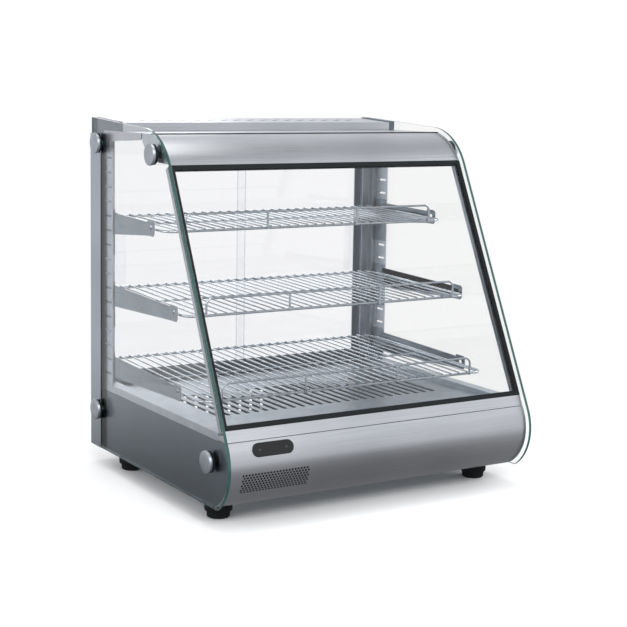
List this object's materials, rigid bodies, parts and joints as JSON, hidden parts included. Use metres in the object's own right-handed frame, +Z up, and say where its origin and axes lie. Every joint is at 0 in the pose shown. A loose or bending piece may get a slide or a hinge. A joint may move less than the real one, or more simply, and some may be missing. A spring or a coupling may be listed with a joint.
{
  "type": "hot food display case",
  "caption": "Counter-top heated display case with a sloping front pane, glass sides, wire shelves and sliding rear doors.",
  "frame": {"origin": "under the middle of the case, on the surface it stands on", "axes": "+Z up, +X to the customer's right, -Y towards the customer, the doors at +Y"},
  "size_m": [0.678, 0.5679, 0.686],
  "materials": {
    "brushed_steel": "brushed along the width, satin",
    "case_steel": "fine brushed, dark blue-grey",
    "zinc_steel": "mill finish sheet",
    "post_aluminium": "satin anodised",
    "bracket_steel": "satin sheet",
    "chrome_wire": "bright plated",
    "knob_steel": "turned, satin",
    "element_sheath": "heat-darkened",
    "safety_glass": "clear tempered, green edge",
    "door_glass": "clear",
    "display_glass": "gloss black",
    "lamp_glass": "frosted warm white",
    "black_plastic": "fine moulded texture",
    "black_rubber": "matt"
  },
  "bodies": {
    "cabinet": {"base_front_panel": "brushed_steel", "base_front_ledge": "brushed_steel", "canopy": "brushed_steel", "roof_tray": "brushed_steel", "top_box": "brushed_steel", "base_rear_panel": "case_steel", "base_side_left": "case_steel", "base_side_right": "case_steel", "base_bottom_plate": "zinc_steel", "floor_deck": "zinc_steel", "rear_header": "zinc_steel", "lamp_reflector": "zinc_steel", "rear_post_left": "post_aluminium", "rear_post_right": "post_aluminium", "shelf_standard_left": "bracket_steel", "shelf_standard_right": "bracket_steel", "heating_element": "element_sheath", "display_window": "display_glass", "control_plate": "black_plastic", "door_track_bottom": "black_plastic", "door_track_top": "black_plastic", "top_cap_left": "black_plastic", "top_cap_right": "black_plastic", "cable_gland": "black_rubber", "front_seal": "black_rubber", "lamp_tube": "lamp_glass", "front_glass": "safety_glass", "side_glass_left": "safety_glass", "side_glass_right": "safety_glass", "glass_knob_rear_top_left": "knob_steel", "glass_knob_rear_bottom_left": "knob_steel", "glass_knob_front_top_left": "knob_steel", "glass_knob_front_bottom_left": "knob_steel", "foot_front_left": "black_rubber", "foot_rear_left": "black_rubber", "glass_knob_rear_top_right": "knob_steel", "glass_knob_rear_bottom_right": "knob_steel", "glass_knob_front_top_right": "knob_steel", "glass_knob_front_bottom_right": "knob_steel", "foot_front_right": "black_rubber", "foot_rear_right": "black_rubber", "bracket_lower_left": "bracket_steel", "bracket_lower_right": "bracket_steel", "bracket_middle_left": "bracket_steel", "bracket_middle_right": "bracket_steel", "bracket_upper_left": "bracket_steel", "bracket_upper_right": "bracket_steel"},
    "door_left_panel": {"door_left": "door_glass", "door_handle_left": "door_glass"},
    "door_right_panel": {"door_right": "door_glass", "door_handle_right": "door_glass"},
    "power_switch": {"rocker_power": "black_plastic"},
    "light_switch": {"rocker_light": "black_plastic"},
    "thermostat": {"thermostat_knob": "black_plastic"},
    "shelf_lower": {"shelf_grid_lower": "chrome_wire", "shelf_fence_lower": "chrome_wire"},
    "shelf_middle": {"shelf_grid_middle": "chrome_wire", "shelf_fence_middle": "chrome_wire"},
    "shelf_upper": {"shelf_grid_upper": "chrome_wire", "shelf_fence_upper": "chrome_wire"}
  },
  "joints": [
    {"name": "door_left_slide", "type": "slide", "parent": "cabinet", "child": "door_left_panel", "axis": [1, 0, 0], "range_m": [0, 0.28]},
    {"name": "door_right_slide", "type": "slide", "parent": "cabinet", "child": "door_right_panel", "axis": [1, 0, 0], "range_m": [-0.28, 0]},
    {"name": "shelf_lower_lift", "type": "slide", "parent": "cabinet", "child": "shelf_lower", "axis": [0, 0, 1], "range_m": [0, 0.04]},
    {"name": "shelf_middle_lift", "type": "slide", "parent": "cabinet", "child": "shelf_middle", "axis": [0, 0, 1], "range_m": [0, 0.04]},
    {"name": "shelf_upper_lift", "type": "slide", "parent": "cabinet", "child": "shelf_upper", "axis": [0, 0, 1], "range_m": [0, 0.04]},
    {"name": "power_rocker_tilt", "type": "hinge", "parent": "cabinet", "child": "power_switch", "pos_m": [0.152, 0.259, 0.104], "axis": [1, 0, 0], "range_deg": [-8, 8]},
    {"name": "light_rocker_tilt", "type": "hinge", "parent": "cabinet", "child": "light_switch", "pos_m": [0.184, 0.259, 0.104], "axis": [1, 0, 0], "range_deg": [-8, 8]},
    {"name": "thermostat_turn", "type": "hinge", "parent": "cabinet", "child": "thermostat", "pos_m": [0.238, 0.262, 0.104], "axis": [0, 1, 0], "range_deg": [0, 270]}
  ]
}
